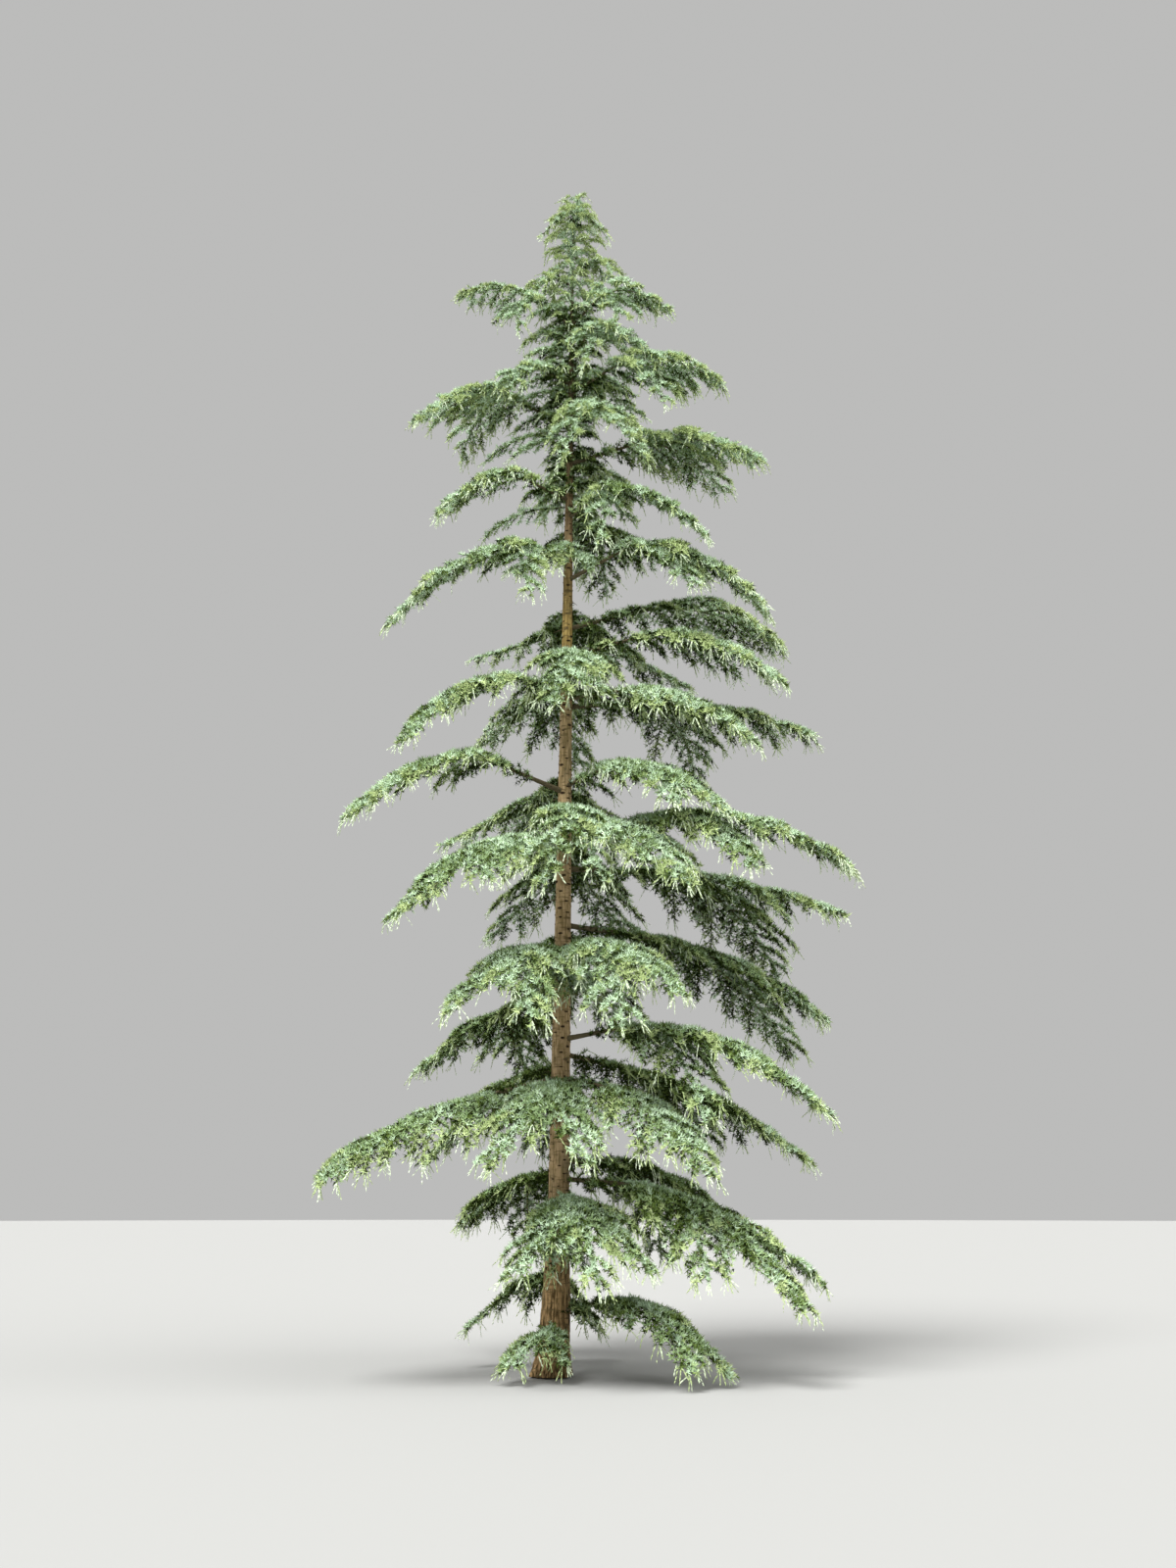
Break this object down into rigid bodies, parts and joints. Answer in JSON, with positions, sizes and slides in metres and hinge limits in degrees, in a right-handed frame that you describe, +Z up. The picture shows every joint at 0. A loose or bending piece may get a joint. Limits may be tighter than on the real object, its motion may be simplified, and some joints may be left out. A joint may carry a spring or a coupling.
{
  "type": "deodar cedar tree",
  "caption": "Young deodar cedar rooted in the ground: a slightly leaning trunk with tiers of arching, drooping boughs under hanging sprays of blue-green needles.",
  "frame": {"origin": "middle of the flat cut under the trunk, at ground level", "axes": "+Z up the trunk, -Y towards the side seen in the picture, +X to that view's right"},
  "size_m": [4.8101, 4.2237, 12.4],
  "materials": {
    "trunk_bark": "grey-brown fissured bark, rough, with dark cross marks",
    "bough_bark": "grey-brown young bark, rough",
    "needles": "glaucous blue-green needles, matt with a slight waxy sheen"
  },
  "bodies": {
    "root": {"bough_03_left": "bough_bark", "bough_04_right": "bough_bark", "bough_06_right": "bough_bark", "bough_07_left": "bough_bark", "bough_10_right": "bough_bark", "foliage_01_back": "needles", "foliage_01_front_left": "needles", "foliage_01_right": "needles", "foliage_02_back_left": "needles", "foliage_02_back_right": "needles", "foliage_02_front": "needles", "foliage_02_right": "needles", "foliage_03_back": "needles", "foliage_03_back_right": "needles", "foliage_03_front": "needles", "foliage_03_front_right": "needles", "foliage_03_left": "needles", "foliage_04_back_left": "needles", "foliage_04_right": "needles", "foliage_05_back": "needles", "foliage_05_front_left": "needles", "foliage_05_front_right": "needles", "foliage_05_right": "needles", "foliage_06_back": "needles", "foliage_06_back_right": "needles", "foliage_06_front": "needles", "foliage_06_front_right": "needles", "foliage_06_left": "needles", "foliage_06_right": "needles", "foliage_07_back": "needles", "foliage_07_front_right": "needles", "foliage_07_left": "needles", "foliage_08_back": "needles", "foliage_08_front": "needles", "foliage_08_front_right": "needles", "foliage_08_left": "needles", "foliage_08_right": "needles", "foliage_09_back": "needles", "foliage_09_back_right": "needles", "foliage_09_right": "needles", "foliage_10_left": "needles", "foliage_10_right": "needles", "foliage_11_back": "needles", "foliage_11_front_right": "needles", "foliage_11_left": "needles", "foliage_12_back": "needles", "foliage_12_front": "needles", "foliage_12_left": "needles", "foliage_12_right": "needles", "foliage_13_back": "needles", "foliage_13_left": "needles", "foliage_13_right": "needles", "foliage_13_upper_right": "needles", "foliage_14_back": "needles", "foliage_14_left": "needles", "foliage_14_right": "needles", "foliage_15_left": "needles", "foliage_15_right": "needles", "foliage_16_leader": "needles", "trunk": "trunk_bark"}
  },
  "joints": []
}
